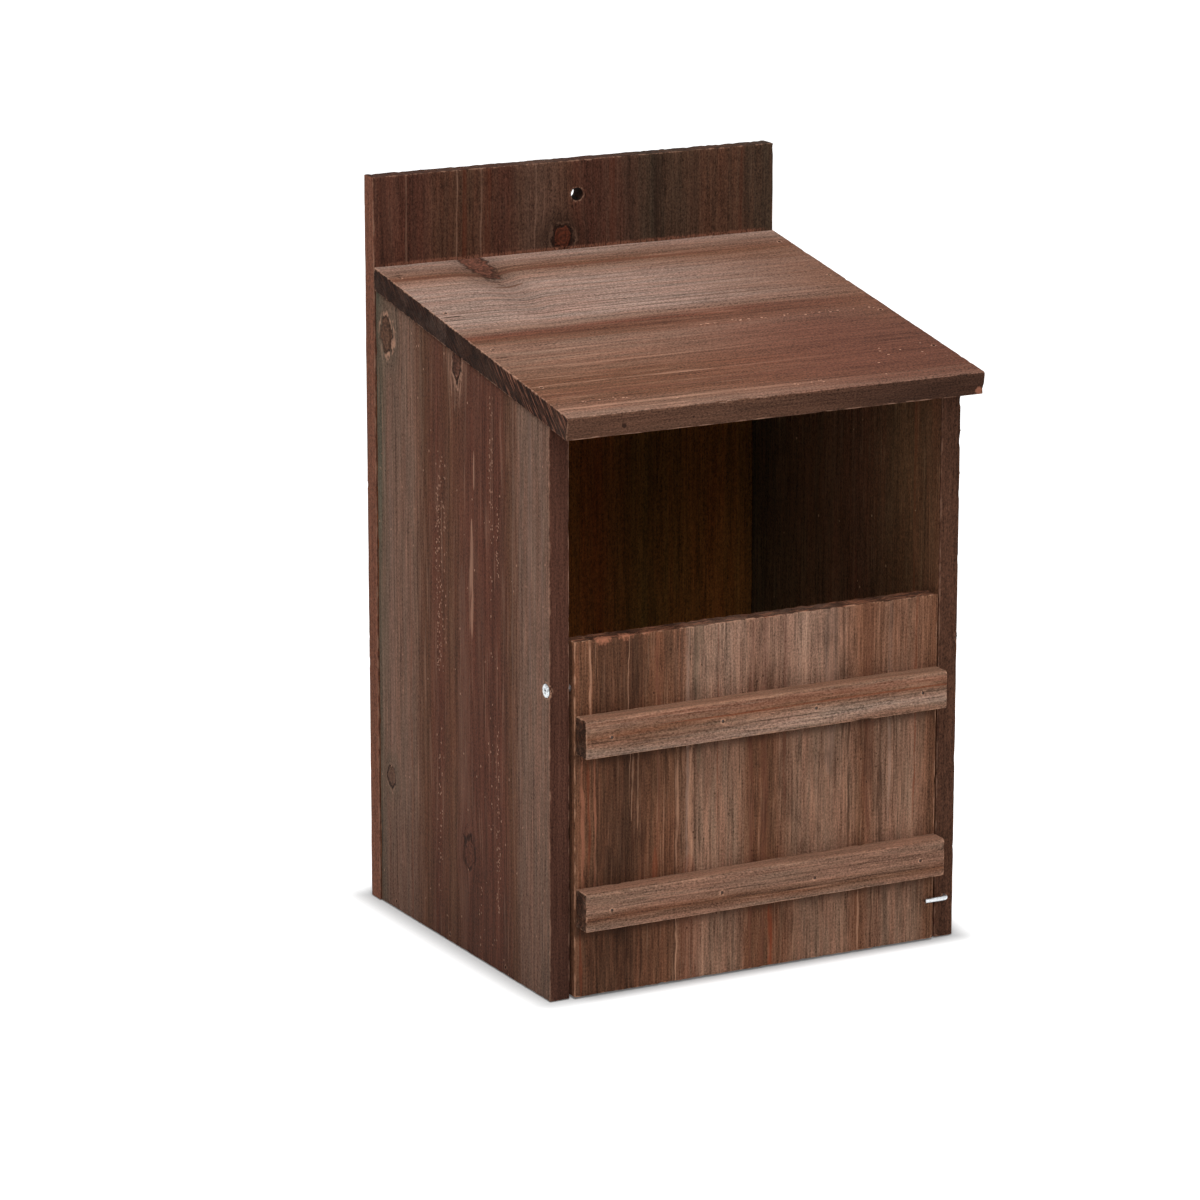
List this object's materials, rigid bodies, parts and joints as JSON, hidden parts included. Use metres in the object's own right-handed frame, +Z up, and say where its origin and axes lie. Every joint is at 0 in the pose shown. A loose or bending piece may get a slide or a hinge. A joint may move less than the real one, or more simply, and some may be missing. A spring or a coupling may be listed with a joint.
{
  "type": "open-fronted nest box",
  "caption": "Open-fronted wooden nest box with a sloping roof, a tall backboard with a hanging hole, and a lower front panel that swings out on two screws behind a latch hook.",
  "frame": {"origin": "middle of the bounding box's footprint, on the surface that the box stands on", "axes": "+Z up along the backboard, -Y out of the open front, +X to the right as seen from the front"},
  "size_m": [0.22, 0.21, 0.36],
  "materials": {
    "wood_dark": "stained, matt",
    "wood_side": "stained, matt",
    "wood_floor": "stained, matt",
    "wood_roof": "stained, matt, slightly worn",
    "wood_panel": "stained, matt, rough sawn",
    "wood_batten": "stained, matt, rough sawn",
    "zinc": "zinc plated",
    "nail_steel": "dull, sunk below the wood's face"
  },
  "bodies": {
    "box": {"backboard": "wood_dark", "left_side": "wood_side", "right_side": "wood_side", "floor_board": "wood_floor", "roof": "wood_roof", "roof_nails_left": "nail_steel", "roof_nails_right": "nail_steel", "floor_nails_left": "nail_steel", "floor_nails_right": "nail_steel", "back_nails_left": "nail_steel", "back_nails_right": "nail_steel", "back_nails_floor": "nail_steel"},
    "panel": {"front_panel": "wood_panel", "upper_batten": "wood_batten", "lower_batten": "wood_batten", "left_pivot_screw": "zinc", "right_pivot_screw": "zinc", "upper_batten_nails": "nail_steel", "lower_batten_nails": "nail_steel"},
    "hook": {"latch_hook": "zinc"}
  },
  "joints": [
    {"name": "panel_swing", "type": "hinge", "parent": "box", "child": "panel", "pos_m": [0, -0.0816, 0.1487], "axis": [-1, 0, 0], "range_deg": [0, 167]},
    {"name": "hook_turn", "type": "hinge", "parent": "box", "child": "hook", "pos_m": [0.10405, -0.085, 0.0204], "axis": [0, -1, 0], "range_deg": [-90, 90]}
  ]
}
